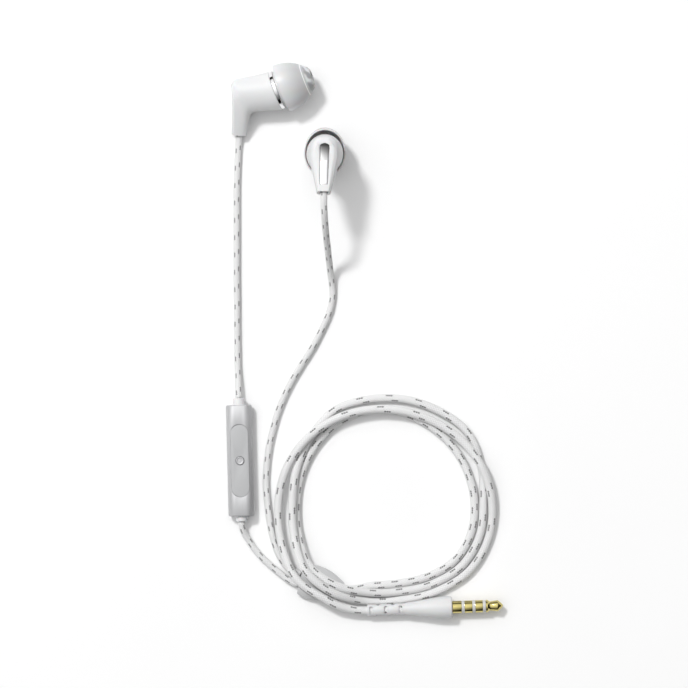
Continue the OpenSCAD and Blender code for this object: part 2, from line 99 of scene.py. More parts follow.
# The main cable's coil, one (radius, height) at each station round its centre
COIL_CENTRE, STATION_ANGLE, FIRST_STATION = (27.6, -103.6), 20, 260
COIL_LAY = [
    (24.1, 1.2), (23.3, 1.2), (24.2, 1.2), (25.4, 1.2), (25.4, 1.2), (24.7, 1.2), (24.2, 1.2), (24.1, 1.2),
    (24.4, 1.2), (25.1, 1.2), (25.7, 1.2), (25.7, 1.2), (25.2, 1.2), (24.9, 1.2), (25, 1.2), (26.1, 2),
    (28, 4.8), (27.2, 5.2),
    (25.9, 2.9), (25.6, 1.4), (26.6, 1.2), (27.9, 1.2), (27.9, 1.2), (27.2, 1.2), (28.3, 1.2), (29.8, 1.2),
    (29.2, 1.2), (28.9, 1.2), (28.9, 1.2), (29.2, 1.2), (27.6, 1.9), (26.6, 2.9), (26.2, 3.4), (27.4, 4.2),
    (29.5, 6.8), (29.4, 5.8),
    (28.3, 1.6), (28, 1.2), (29, 1.2), (30.4, 1.2), (30.5, 1.2), (29.6, 2.4), (28.4, 3.8), (27, 3.2),
    (25.9, 3.2), (25.6, 3.6), (26, 3.6), (26.9, 3.6), (28.1, 4.3), (29.2, 3.8), (30.1, 2.6), (31.3, 3),
    (33, 4.7), (32, 4.8),
]
MAIN_START = [(15.8, -128.4, 1.8), (19.4, -128.2, 1.4)]
MAIN_END = [(17, -133.5, 3.7), (21.8, -134.1, 3.1), (32.4, -133.7, 3.1)]


def coil_point(i):
    angle = math.radians(FIRST_STATION + i * STATION_ANGLE)
    radius, height = COIL_LAY[i]
    return COIL_CENTRE[0] + radius * math.cos(angle), COIL_CENTRE[1] + radius * math.sin(angle), height


MAIN_ROUTE = MAIN_START + [coil_point(i) for i in range(len(COIL_LAY))] + MAIN_END

# ---- meshes


WELD = 0.0005  # millimetres


def new_mesh(name, points, faces):
    """A mesh of points in millimetres."""
    mesh = bpy.data.meshes.new(name)
    mesh.from_pydata([Vector(p) * MM for p in points], [], faces)
    return mesh


def new_object(name, data):
    made = bpy.data.objects.new(name, data)
    bpy.context.scene.collection.objects.link(made)
    return made


def store(mesh, name, kind, field, values):
    """Keeps a value or a vector for each point, for the material to read."""
    mesh.attributes.new(name, kind, "POINT").data.foreach_set(field, values)


def riding_piece(name, mesh, material, body):
    """A mesh that is in its place, as a piece on its body."""
    mesh.materials.append(material)
    piece = new_object(name, mesh)
    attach(piece, body)
    return piece


def new_piece(name, points, faces, material, place, smooth, body=ROOT, replaces=()):
    """A piece from points in millimetres in the frame of place. Edges over smooth degrees stay sharp."""
    mesh = new_mesh(name, points, faces)
    return finish_piece(name, mesh, material, place, smooth, body, replaces)


def finish_piece(name, mesh, material, place, smooth, body, replaces):
    """Welds the mesh, turns its faces outwards, and rides it on its body."""
    work = bmesh.new()
    work.from_mesh(mesh)
    bmesh.ops.remove_doubles(work, verts=work.verts, dist=WELD * MM)
    bmesh.ops.dissolve_degenerate(work, edges=work.edges, dist=WELD * MM)
    bmesh.ops.recalc_face_normals(work, faces=work.faces)
    work.to_mesh(mesh)
    work.free()
    own = [c / MM for vertex in mesh.vertices for c in vertex.co]
    store(mesh, "own_mm", "FLOAT_VECTOR", "vector", own)
    in_metres = place.copy()
    in_metres.translation = place.translation * MM
    mesh.transform(in_metres)
    mesh.shade_smooth()
    mesh.set_sharp_from_angle(angle=math.radians(smooth))
    piece = riding_piece(name, mesh, material, body)
    if replaces:
        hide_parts(*replaces)
    return piece


def ring_faces(rings, n, closed=False):
    """The quads between rings of n points; closed joins the last ring to the first."""
    faces = []
    for i in range(rings if closed else rings - 1):
        for j in range(n):
            a, b = i * n + j, i * n + (j + 1) % n
            c, d = ((i + 1) % rings) * n + (j + 1) % n, ((i + 1) % rings) * n + j
            faces.append((a, b, c, d))
    return faces


def capped_faces(rings, n):
    """The faces of a solid of rings of n points, with a flat face at each end."""
    return ring_faces(rings, n) + [tuple(range(n))[::-1], tuple(range((rings - 1) * n, rings * n))]


def stacked(rings):
    """A solid of closed rings laid on each other, with flat ends."""
    return [p for ring in rings for p in ring], capped_faces(len(rings), len(rings[0]))


def revolved(profile, squash=1.0, steps=96):
    """Points and faces of a profile of (distance along X, radius) turned about X. A closed profile makes a
    ring, and one that starts and ends at radius 0 makes a solid. squash narrows it along Z."""
    rings = [p for p in profile if p[1] > 0]
    turns = [2 * math.pi * k / steps for k in range(steps)]
    points = [(x, r * math.sin(t), squash * r * math.cos(t)) for x, r in rings for t in turns]
    solid = profile[0][1] == 0
    faces = ring_faces(len(rings), steps, closed=not solid)
    if solid:
        for x, start, flip in ((profile[0][0], 0, 1), (profile[-1][0], (len(rings) - 1) * steps, -1)):
            points.append((x, 0, 0))
            for k in range(steps):
                faces.append((start + k, start + (k + 1) % steps, len(points) - 1)[::flip])
    return points, faces


def rounded(outline, radius, steps=4, closed=True):
    """An outline of 2-D points with its corners rounded. radius is one number, or one for each corner."""
    n, out = len(outline), []
    for i, corner in enumerate(outline):
        r = radius[i] if hasattr(radius, "__len__") else radius
        ends = not closed and i in (0, n - 1)
        before, after = Vector(outline[i - 1]), Vector(outline[(i + 1) % n])
        corner = Vector(corner)
        to_before, to_after = before - corner, after - corner
        reach = min(r, 0.45 * to_before.length, 0.45 * to_after.length)
        if ends or reach <= 0:
            out.append(tuple(corner))
            continue
        a = corner + to_before.normalized() * reach
        b = corner + to_after.normalized() * reach
        for k in range(steps + 1):
            t = k / steps
            out.append(tuple((1 - t) ** 2 * a + 2 * t * (1 - t) * corner + t * t * b))
    return out


def curve_point(p, t):
    """A point on the Catmull-Rom curve of four points, a share t of the way from p[1] to p[2]."""
    return 0.5 * (2 * p[1] + (p[2] - p[0]) * t + (2 * p[0] - 5 * p[1] + 4 * p[2] - p[3]) * t * t
                  + (3 * p[1] - p[0] - 3 * p[2] + p[3]) * t ** 3)


def spline(points, per_span):
    """Points on a Catmull-Rom curve through the given ones, per_span to each span."""
    p = [np.array(q, float) for q in points]
    p = [2 * p[0] - p[1]] + p + [2 * p[-1] - p[-2]]
    out = []
    for i in range(1, len(p) - 2):
        for k in range(per_span):
            out.append(curve_point(p[i - 1:i + 3], k / per_span))
    out.append(p[-2])
    return np.array(out)


# ---- materials


class Graph:
    """One material's nodes. own_place() is a point in its piece's own frame, and cad_place() is one in its
    object's frame, both in millimetres."""

    def __init__(self, name):
        self.material = bpy.data.materials.new(name)
        self.material.use_nodes = True
        self.tree = self.material.node_tree
        self.tree.nodes.clear()
        self.shader = self.tree.nodes.new("ShaderNodeBsdfPrincipled")
        output = self.tree.nodes.new("ShaderNodeOutputMaterial")
        self.tree.links.new(self.shader.outputs["BSDF"], output.inputs["Surface"])

    def feed(self, socket, value):
        if isinstance(value, bpy.types.NodeSocket):
            self.tree.links.new(value, socket)
        else:
            socket.default_value = value

    def math(self, operation, a, b=0.0):
        node = self.tree.nodes.new("ShaderNodeMath")
        node.operation = operation
        self.feed(node.inputs[0], a)
        self.feed(node.inputs[1], b)
        return node.outputs[0]

    def fold(self, operation, first, *rest):
        for value in rest:
            first = self.math(operation, first, value)
        return first

    def total(self, *values):
        return self.fold("ADD", *values)

    def times(self, *values):
        return self.fold("MULTIPLY", *values)

    def band(self, value, start, end):
        """0 below start, 1 above end, and smooth between."""
        node = self.tree.nodes.new("ShaderNodeMapRange")
        node.interpolation_type = "SMOOTHSTEP"
        self.feed(node.inputs["Value"], value)
        node.inputs["From Min"].default_value = start
        node.inputs["From Max"].default_value = end
        return node.outputs["Result"]

    def mix(self, share, a, b):
        node = self.tree.nodes.new("ShaderNodeMix")
        node.data_type = "RGBA"
        self.feed(node.inputs["Factor"], share)
        self.feed(node.inputs["A"], colour(a))
        self.feed(node.inputs["B"], colour(b))
        return node.outputs["Result"]

    def blend(self, share, a, b):
        node = self.tree.nodes.new("ShaderNodeMix")
        self.feed(node.inputs["Factor"], share)
        self.feed(node.inputs["A"], a)
        self.feed(node.inputs["B"], b)
        return node.outputs["Result"]

    def attribute(self, name, output="Vector"):
        node = self.tree.nodes.new("ShaderNodeAttribute")
        node.attribute_name = name
        return node.outputs[output]

    def cad_place(self):
        node = self.tree.nodes.new("ShaderNodeTexCoord")
        return self.scaled(node.outputs["Object"], (1 / MM,) * 3)

    def own_place(self):
        return self.attribute("own_mm")

    def scaled(self, vector, scale):
        node = self.tree.nodes.new("ShaderNodeVectorMath")
        node.operation = "MULTIPLY"
        self.feed(node.inputs[0], vector)
        node.inputs[1].default_value = scale
        return node.outputs["Vector"]

    def parts(self, vector):
        node = self.tree.nodes.new("ShaderNodeSeparateXYZ")
        self.feed(node.inputs[0], vector)
        return node.outputs

    def noise(self, vector, scale, detail=3.0, rough=0.5):
        node = self.tree.nodes.new("ShaderNodeTexNoise")
        self.feed(node.inputs["Vector"], vector)
        node.inputs["Scale"].default_value = scale
        node.inputs["Detail"].default_value = detail
        node.inputs["Roughness"].default_value = rough
        return node.outputs["Fac"]

    def bump(self, height, depth_mm):
        node = self.tree.nodes.new("ShaderNodeBump")
        node.inputs["Strength"].default_value = 1.0
        node.inputs["Distance"].default_value = depth_mm * MM
        self.feed(node.inputs["Height"], height)
        self.feed(self.shader.inputs["Normal"], node.outputs["Normal"])

    def surface(self, **inputs):
        for name, value in inputs.items():
            self.feed(self.shader.inputs["IOR" if name == "ior" else name.replace("_", " ").title()], value)
        return self.material


def colour(value):
    """A grey level or an (r, g, b) as a colour, and a socket as it is."""
    if isinstance(value, bpy.types.NodeSocket):
        return value
    if isinstance(value, (int, float)):
        return (value, value, value, 1.0)
    return (*value, 1.0)


def plastic(name, tone, rough, grain=0.004, carried=False, subsurface=0.0):
    """Moulded plastic: a fine grain, a slow change of tone, and gloss that varies a little."""
    g = Graph(name)
    place = g.cad_place() if carried else g.own_place()
    cloud = g.noise(place, 0.35, 2.0)
    fine = g.noise(place, 9.0, 4.0, 0.6)
    g.bump(fine, grain)
    inputs = {"subsurface_weight": subsurface, "subsurface_scale": MM} if subsurface else {}
    dim = tuple(0.955 * c for c in tone)
    return g.surface(
        base_color=g.mix(cloud, dim, tone), roughness=g.blend(fine, rough - 0.05, rough + 0.07), **inputs
    )


def metal(name, tone, rough, grain, streak=(1, 1, 1), contrast=0.1, carried=False, metallic=1.0):
    """Metal with grain stretched along one of its axes; streak holds the grain's scale along each axis. An
    anodised or painted metal is less than fully metallic."""
    g = Graph(name)
    place = g.cad_place() if carried else g.own_place()
    lines = g.noise(g.scaled(place, streak), 1.0, 6.0, 0.65)
    g.bump(lines, grain)
    dim = tuple((1 - contrast) * c for c in tone)
    return g.surface(
        base_color=g.mix(g.band(lines, 0.3, 0.7), dim, tone),
        metallic=metallic,
        roughness=g.blend(lines, rough * 0.7, rough * 1.3),
    )


def braid(name, strands):
    """A woven sleeve. The UV map "weave" has turns round the cable and strand widths along it, and the UV
    map "flecks" has the turns again and the count of dark flecks along it."""
    g = Graph(name)
    u, v, _ = g.parts(g.attribute("weave"))
    round_cable = g.times(u, float(strands))
    left = g.math("ADD", round_cable, v)
    right = g.math("SUBTRACT", round_cable, v)
    over_left = g.math("SINE", g.times(g.math("FRACT", left), math.pi))
    over_right = g.math("SINE", g.times(g.math("FRACT", right), math.pi))
    cells = g.math("ADD", g.math("FLOOR", left), g.math("FLOOR", right))
    which = g.math("GREATER_THAN", g.math("FRACT", g.times(cells, 0.5)), 0.25)
    strand = g.blend(which, over_left, over_right)
    yarns = 8.0 * math.pi
    fibre = g.blend(which, g.math("SINE", g.times(left, yarns)), g.math("SINE", g.times(right, yarns)))
    g.bump(g.total(g.math("POWER", strand, 0.6), g.times(fibre, 0.08)), 0.06)
    rows = 5.0
    around, count, _ = g.parts(g.attribute("flecks"))
    row = g.times(around, rows)
    sideways = g.math("ABSOLUTE", g.math("SUBTRACT", g.math("FRACT", row), 0.5))
    phase = g.math("FRACT", g.math("SUBTRACT", count, g.times(g.math("FLOOR", row), 1 / rows)))
    along = g.math("DIVIDE", phase, g.attribute("fleck_share", "Fac"))
    inside = g.math("LESS_THAN", along, 1.0)
    dots = g.band(g.math("ABSOLUTE", g.math("SINE", g.times(along, 3 * math.pi))), 0.12, 0.5)
    narrow = g.math("SUBTRACT", 1.0, g.band(sideways, 0.12, 0.21))
    fleck = g.times(inside, dots, narrow)
    dirt = g.noise(g.own_place(), 0.6, 3.0)
    # painted shade: the crevices between strands are darker (0.55) than the yarn on top of a strand
    yarn_with_crevice_shade = g.mix(g.band(strand, 0.0, 0.6), 0.55, g.mix(dirt, 0.77, 0.83))
    return g.surface(
        base_color=g.mix(g.times(fleck, 0.9), yarn_with_crevice_shade, 0.06),
        roughness=0.75,
        sheen_weight=0.15,
        sheen_roughness=0.5,
    )


def inlay_finish():
    """The inlay: brushed, with painted shade that makes it dark at its top, where the slot's deep top end
    lies in shadow, and lighter towards its polished end.
    """
    g = Graph("brushed_inlay")
    place = g.own_place()
    lines = g.noise(g.scaled(place, (0.15, 0.12, 6)), 1.0, 4.0, 0.7)
    _, y, _ = g.parts(place)
    # painted shade: darkest at the strip's top, where the slot's top end is in shadow
    shade = g.mix(g.band(y, 5.0, 0.5), 0.06, 0.55)
    g.bump(lines, 0.01)
    return g.surface(
        base_color=g.mix(g.band(lines, 0.35, 0.65), g.mix(0.35, shade, 0.05), shade),
        metallic=0.9,
        roughness=g.blend(lines, 0.38, 0.55),
    )


def screen_finish():
    """A woven mesh: bright wires over dark gaps."""
    g = Graph("screen_mesh")
    x, y, z = g.parts(g.scaled(g.cad_place(), (2.5, 2.5, 2.5)))
    wires = g.math("MAXIMUM", *(g.math("PINGPONG", g.total(part, z), 0.5) for part in (x, y)))
    g.bump(wires, 0.06)
    return g.surface(base_color=g.mix(g.band(wires, 0.3, 0.42), 0.02, 0.5), metallic=1.0, roughness=0.35)


def silicone_finish():
    """White silicone, with painted light: a painted highlight line round the dome, painted shade that
    darkens it towards its front, and darker and paler patches at its mouth that paint the light and shade
    seen through its translucent end.
    """
    g = Graph("silicone")
    place = g.own_place()
    fine = g.noise(place, 6.0, 4.0)
    x, _, _ = g.parts(place)
    # painted light and shade at the mouth: patches darker and paler than the rest of the tip
    painted_mouth_patches = g.band(g.noise(place, 0.55, 0.0), 0.36, 0.6)
    mouth = g.mix(painted_mouth_patches, (0.36, 0.365, 0.37), (0.76, 0.765, 0.77))
    # painted highlight: a bright line round the dome
    line = g.times(g.band(x, 8.7, 8.8), g.band(x, 9.05, 8.95))
    # painted shade: the skin darkens towards the front of the tip
    skin_with_painted_light = g.mix(line, g.mix(g.band(x, 1.8, 8.5), (0.74, 0.745, 0.75), (0.58, 0.585, 0.59)), 0.95)
    g.bump(fine, 0.006)
    return g.surface(
        base_color=g.mix(g.band(x, 9.2, 9.7), skin_with_painted_light, mouth),
        roughness=g.blend(fine, 0.34, 0.46),
        subsurface_weight=0.2,
        subsurface_scale=1.2 * MM,
        transmission_weight=0.12,
        ior=1.41,
        coat_weight=0.15,
        coat_roughness=0.25,
    )


def board_finish():
    """Solder mask with paler traces."""
    g = Graph("circuit_board")
    x, y, _ = g.parts(g.cad_place())
    trace = g.math("MULTIPLY", g.band(g.math("PINGPONG", x, 0.4), 0.28, 0.34), g.noise(g.cad_place(), 0.8))
    return g.surface(base_color=g.mix(trace, (0.02, 0.16, 0.06), (0.1, 0.4, 0.16)), roughness=0.35)


WHITE = (0.72, 0.725, 0.73)
SHELL = plastic("white_shell", WHITE, 0.52, subsurface=0.08)
BOOT_WHITE = plastic("white_boot", (0.69, 0.693, 0.696), 0.5, subsurface=0.1)
PALE = plastic("pale_shell", (0.55, 0.553, 0.556), 0.38)
NOZZLE_WHITE = plastic("nozzle_white", WHITE, 0.4, carried=True)
INSULATOR = plastic("insulator", (0.6, 0.6, 0.59), 0.45)
GREY_RUBBER = plastic("grey_rubber", (0.07, 0.07, 0.072), 0.7, carried=True)
BLACK_PLASTIC = plastic("black_plastic", (0.02, 0.02, 0.022), 0.5, carried=True)
CORE = plastic("core_plastic", (0.2, 0.2, 0.21), 0.55, carried=True)
FILM = plastic("diaphragm", (0.6, 0.6, 0.62), 0.3, carried=True)
PANEL_GREY = plastic("grey_panel", (0.46, 0.464, 0.47), 0.5, grain=0.012)
CHROME = metal("chrome_trim", (0.86, 0.86, 0.87), 0.06, 0.0006, (2, 2, 2), 0.03)
POLISHED = metal("polished_inlay", (0.7, 0.7, 0.71), 0.22, 0.001, (1, 0.4, 8), 0.05)
ALUMINIUM = metal("satin_aluminium", (0.55, 0.552, 0.56), 0.56, 0.003, (9, 0.12, 9), 0.08, metallic=0.5)
BUTTON_METAL = metal("button_metal", (0.5, 0.5, 0.51), 0.55, 0.002, (6, 6, 6), 0.1, metallic=0.6)
GOLD = metal("gold", (0.62, 0.53, 0.21), 0.08, 0.0003, (6, 1.2, 1.2), 0.06)
STEEL = metal("driver_metal", (0.55, 0.55, 0.56), 0.35, 0.002, (3, 3, 3), 0.1, carried=True)
MAGNET = metal("magnet", (0.6, 0.6, 0.6), 0.2, 0.001, (3, 3, 3), 0.05, carried=True)
SCREEN = screen_finish()
INLAY = inlay_finish()
SILICONE = silicone_finish()
BOARD = board_finish()
STRANDS = 9
BRAID = braid("braid", STRANDS)

# ---- the cables

RING_STEP = 0.2
AROUND = 32
WEAVE_DEPTH = 0.05
ROUTE_STEPS = 10  # the steps between two points of a route


def on_floor(route, diameter):
    """A cable's line along its route, lifted where the cable would go under the floor."""
    line = spline(route, ROUTE_STEPS)
    line[:, 2] = np.maximum(line[:, 2], diameter / 2)
    return line


def resampled(line, step):
    along = np.concatenate([[0], np.cumsum(np.linalg.norm(np.diff(line, axis=0), axis=1))])
    at = np.linspace(0, along[-1], max(2, round(along[-1] / step) + 1))
    return np.stack([np.interp(at, along, line[:, k]) for k in range(3)], axis=1), at


def weave_height(turns, lengths):
    """The weave's height, from 0 between strands to 1 on top of one."""
    left, right = turns * STRANDS + lengths, turns * STRANDS - lengths
    on_right = (np.floor(left) + np.floor(right)) % 2 > 0.5
    return np.where(on_right, np.abs(np.sin(np.pi * right)), np.abs(np.sin(np.pi * left))) ** 0.6


def cable(name, line, diameter, thin=None, pitches=((0, 4.85),), fleck_l=1.35):
    """A braided cable along line. thin is (first, last, radius): the stretch inside a fitting where only
    the wires go on. pitches are (distance along the cable, distance between flecks)."""
    centres, at = resampled(line, RING_STEP)
    heading = np.gradient(centres, axis=0)
    heading /= np.linalg.norm(heading, axis=1)[:, None]
    side = np.cross(heading, (0, 0, 1))
    side /= np.linalg.norm(side, axis=1)[:, None]
    up = np.cross(side, heading)
    turns = np.arange(AROUND) / AROUND
    widths = math.pi * diameter / STRANDS
    relief = weave_height(turns[None, :], (at / widths)[:, None])
    radii = diameter / 2 - WEAVE_DEPTH * (1 - relief)
    if thin:
        inside = (at > thin[0]) & (at < thin[1])
        radii[inside] = thin[2]
    angle = 2 * math.pi * turns
    out = np.cos(angle)[None, :, None] * up[:, None, :] + np.sin(angle)[None, :, None] * side[:, None, :]
    points = (centres[:, None, :] + radii[:, :, None] * out).reshape(-1, 3)
    rings = len(centres)
    mesh = bpy.data.meshes.new(name)
    mesh.from_pydata((points * MM).tolist(), [], capped_faces(rings, AROUND))
    pitch = np.interp(at, [p[0] for p in pitches], [p[1] for p in pitches])
    count = np.concatenate([[0], np.cumsum(np.diff(at) / pitch[1:])])
    ring, spoke = np.divmod(np.array([loop.vertex_index for loop in mesh.loops]), AROUND)
    last_spoke = np.zeros(len(mesh.loops), bool)
    quads = (rings - 1) * AROUND
    last_spoke[: quads * 4] = np.repeat(np.arange(quads) % AROUND == AROUND - 1, 4)
    u = spoke / AROUND + (last_spoke & (spoke == 0))
    for layer, v in (("weave", at / widths), ("flecks", count)):
        uv = mesh.uv_layers.new(name=layer)
        uv.data.foreach_set("uv", np.stack([u, v[ring]], axis=1).astype(np.float32).ravel())
    store(mesh, "fleck_share", "FLOAT", "value", np.repeat(fleck_l / pitch, AROUND).astype(np.float32))
    store(mesh, "own_mm", "FLOAT_VECTOR", "vector", points.astype(np.float32).ravel())
    mesh.shade_smooth()
    return riding_piece(name, mesh, BRAID, ROOT), centres * MM


def length_of(line):
    return float(np.linalg.norm(np.diff(line, axis=0), axis=1).sum())


WIRES_R, WIRES_Z = 0.35, 1.1
INSIDE_REMOTE = [(-13.5, -78, WIRES_Z + 0.5), (-13.4, -83, WIRES_Z), (-13.2, -92, WIRES_Z),
                 (-13, -101, WIRES_Z), (-12.9, -106, WIRES_Z + 0.5)]
upper_line = on_floor(LEFT_UPPER_ROUTE, EAR_CABLE_D)
lower_line = on_floor(LEFT_LOWER_ROUTE, EAR_CABLE_D)
through_line = spline([LEFT_UPPER_ROUTE[-1], *INSIDE_REMOTE, LEFT_LOWER_ROUTE[0]], ROUTE_STEPS)[1:-1]
upper_l = length_of(upper_line)
through_l = length_of(np.vstack([upper_line[-1:], through_line, lower_line[:1]]))
left_cable, left_path = cable(
    "left_cable", np.vstack([upper_line, through_line, lower_line]), EAR_CABLE_D,
    thin=(upper_l, upper_l + through_l, WIRES_R),
)
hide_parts("left_upper_cable", "left_lower_cable")
right_cable, right_path = cable("right_cable_braid", on_floor(RIGHT_ROUTE, EAR_CABLE_D), EAR_CABLE_D)
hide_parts("right_cable")
main_cable, main_path = cable(
    "main_cable_braid", on_floor(MAIN_ROUTE, MAIN_CABLE_D), MAIN_CABLE_D,
    pitches=((0, 4.8), (150, 4.9), (175, 8.2), (330, 8.2), (350, 10), (470, 10), (500, 7.2)), fleck_l=1.9,
)
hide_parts("main_cable")

# ---- the earbuds

# The housing from its front to the end of the stem: (point on the nozzle's underside and stem's front,
# point on the top and back, half width, squareness, half width of the flat back with its chamfer, width of
# the chamfer)
HOUSING_ROWS = [
    ((0, -5.6), (0, 5.6), 5.1, 1, 0.5, 0),
    ((-3, -4.7), (-3.6, 6), 4.75, 0.95, 0.5, 0),
    ((-6, -3.8), (-7.4, 6.6), 4.3, 0.9, 0.5, 0),
    ((-7.5, -3.4), (-9.6, 6.8), 4.05, 0.85, 0.8, 0.05),
    ((-8.2, -3.4), (-10.9, 5.8), 3.95, 0.8, 2.1, 0.5),
    ((-8.6, -3.6), (-11.2, 5.2), 3.9, 0.8, 2.75, 0.7),
    ((-8.8, -3.8), (-11.3, 4.6), 3.85, 0.8, 3.15, 0.8),
    ((-9, -4), (-11.5, 4), 3.8, 0.8, 3.35, 0.8),
    ((-9.5, -4.7), (-12.1, 2.2), 3.6, 0.8, 3.35, 0.8),
    ((-10.1, -5.7), (-13, -0.2), 3.2, 0.8, 3, 0.75),
    ((-11, -7.2), (-14.3, -3.5), 2.55, 0.8, 2.4, 0.6),
    ((-11.5, -8), (-15.1, -5.4), 2.25, 0.8, 2.05, 0.5),
    ((-11.6, -8.1), (-15.2, -5.6), 2.2, 0.8, 2, 0.5),
    ((-12, -9), (-15.8, -7), 1.95, 0.8, 1.7, 0.4),
]
HOUSING_WALL, SLOT_DEPTH = 0.8, 0.6
SLOT_TOP, SLOT_BOTTOM = 4.6, 11.0  # the rows between which the slot runs
SLOT_TOP_R, SLOT_BOTTOM_R, SLOT_MIN_R, SLOT_ROUND = 1.65, 1.05, 0.3, 1.3
SLOT_STATIONS, SLOT_CROWDING = 32, 1.6  # the stations crowd towards the slot's round top
FRONT_EDGE = [(0, 0.12), (0.03, 0)]  # (row, inset) of the sections that ease the front edge
# (inset, push) of the sections that ease the stem's end
STEM_EDGE = [(0, 0), (0.06, 0.1), (0.25, 0.14), (HOUSING_WALL - 0.1, 0.05)]
STEPS_PER_ROW = 8
SIDE_POINTS = 26


def housing_row(u):
    """The values of HOUSING_ROWS at u, a row's number or a place between two rows."""
    flat = [[*low, *high, *rest] for low, high, *rest in HOUSING_ROWS]
    i = min(int(u), len(flat) - 2)
    p = [np.array(flat[min(max(k, 0), len(flat) - 1)]) for k in (i - 1, i, i + 1, i + 2)]
    return curve_point(p, u - i)


def into_back(u):
    """The way into the housing's back, square to its surface."""
    along = np.array(housing_row(u + 0.05)[2:4]) - np.array(housing_row(u - 0.05)[2:4])
    return np.array([-along[1], along[0], 0]) / np.linalg.norm(along)


def power(value, exponent):
    return math.copysign(abs(value) ** exponent, value)


def housing_ring(u, inset=0.0, slot=SLOT_MIN_R, depth=0.0, push=0.0):
    """One closed section. slot is half the slot's width there, depth is the slot's, and push moves the
    section on past the stem's end."""
    lx, ly, hx, hy, b, square, plate, chamfer = housing_row(u)
    low, high = np.array([lx, ly, 0]), np.array([hx, hy, 0])
    up = (high - low) / np.linalg.norm(high - low)
    on = np.array([up[1], -up[0], 0]) * -1
    middle = (low + high) / 2 + on * push
    a = np.linalg.norm(high - low) / 2 - inset
    b -= inset
    plate = max(min(plate - 0.6 * inset, 0.97 * b), slot + 0.25)
    chamfer = min(chamfer, plate - slot - 0.2)
    sharp = min(0.12, 0.4 * max(chamfer, 0.02))
    start = math.asin(min(plate / b, 0.999) ** (1 / square))
    bulge = (a - chamfer) / math.cos(start) ** square
    lip = 0.1 if depth > 0 else 0.0
    half = [
        (a, 0), (a, slot * 0.6), (a, slot), (a - lip, slot), (a, slot + lip),
        (a, slot + 0.5 * (plate - chamfer - slot) + 0.05), (a, plate - chamfer - sharp),
        (a - sharp * 0.35, plate - chamfer + sharp * 0.5), (a - 0.5 * chamfer, plate - 0.5 * chamfer),
        (a - chamfer, plate),
    ]
    for k in range(1, SIDE_POINTS + 1):
        t = start + (math.pi - start) * k / SIDE_POINTS
        size = bulge if t < math.pi / 2 else a
        wide = b * math.sin(t) ** square if k < SIDE_POINTS else 0.0
        half.append((size * power(math.cos(t), square), wide))
    outline = half + [(h, -w) for h, w in half[-2:0:-1]]
    ring = [middle + up * h + np.array([0, 0, w]) for h, w in outline]
    for k in (-2, -1, 0, 1, 2):
        ring[k] = ring[k] + into_back(u) * depth
    return ring


def slot_stations():
    """(u, half width, depth) along the slot, with a round top end and upright walls at both ends."""
    start = np.array(housing_row(SLOT_TOP)[2:4])
    stations = [(SLOT_TOP, SLOT_MIN_R, 0.0)]
    for k in range(SLOT_STATIONS + 1):
        u = SLOT_TOP + (SLOT_BOTTOM - SLOT_TOP) * (k / SLOT_STATIONS) ** SLOT_CROWDING
        far = float(np.linalg.norm(np.array(housing_row(u)[2:4]) - start))
        width = SLOT_TOP_R + (SLOT_BOTTOM_R - SLOT_TOP_R) * (u - SLOT_TOP) / (SLOT_BOTTOM - SLOT_TOP)
        if far < SLOT_ROUND:
            width *= math.sqrt(max(1 - (1 - far / SLOT_ROUND) ** 2, 0.0))
        stations.append((u, max(width, SLOT_MIN_R), SLOT_DEPTH))
    stations.append((SLOT_BOTTOM, SLOT_BOTTOM_R, 0.0))
    return stations


def housing(name, place, nodes):
    last = len(HOUSING_ROWS) - 1
    before = [k / STEPS_PER_ROW for k in range(1, int(SLOT_TOP * STEPS_PER_ROW))]
    after = [SLOT_BOTTOM + k / STEPS_PER_ROW for k in range(1, 2 * STEPS_PER_ROW)]
    rings = [housing_ring(u, inset=inset) for u, inset in FRONT_EDGE]
    rings += [housing_ring(u) for u in before]
    rings += [housing_ring(u, slot=slot, depth=depth) for u, slot, depth in slot_stations()]
    rings += [housing_ring(u) for u in after]
    rings += [housing_ring(last, inset=inset, push=push) for inset, push in STEM_EDGE]
    rings += [housing_ring(u, inset=HOUSING_WALL) for u in (last, 12, *range(10, -1, -1))]
    points = [p for ring in rings for p in ring]
    new_piece(name, points, ring_faces(len(rings), len(rings[0]), closed=True), SHELL,
              place=place, replaces=nodes, smooth=32)


INLAY_T, INLAY_CLEAR, INLAY_CROWN = 0.3, 0.1, 0.06
INLAY_ACROSS = [-1, -0.93, -0.6, -0.2, 0.2, 0.6, 0.93, 1]  # shares of half its width
POLISHED_FROM, POLISHED_TO, POLISHED_STEPS = 0.62, 0.97, 8  # the polished end, as shares of the slot's rows


def inlay_part(stations, thick, inset, crown):
    """A strip on the slot's floor along the stations, crowned across, with its edges eased."""
    rings = []
    for u, slot, _ in stations:
        high = np.array([*housing_row(u)[2:4], 0])
        out = -into_back(u)
        floor = high - out * (SLOT_DEPTH - GAP)
        half = max(slot - inset, 0.15)
        top = [(w * half, thick + crown * (1 - w * w) - (0.05 if abs(w) == 1 else 0)) for w in INLAY_ACROSS]
        outline = [(-half, 0), *top, (half, 0)]
        rings.append([floor + out * h + np.array([0, 0, w]) for w, h in outline])
    return stacked(rings)


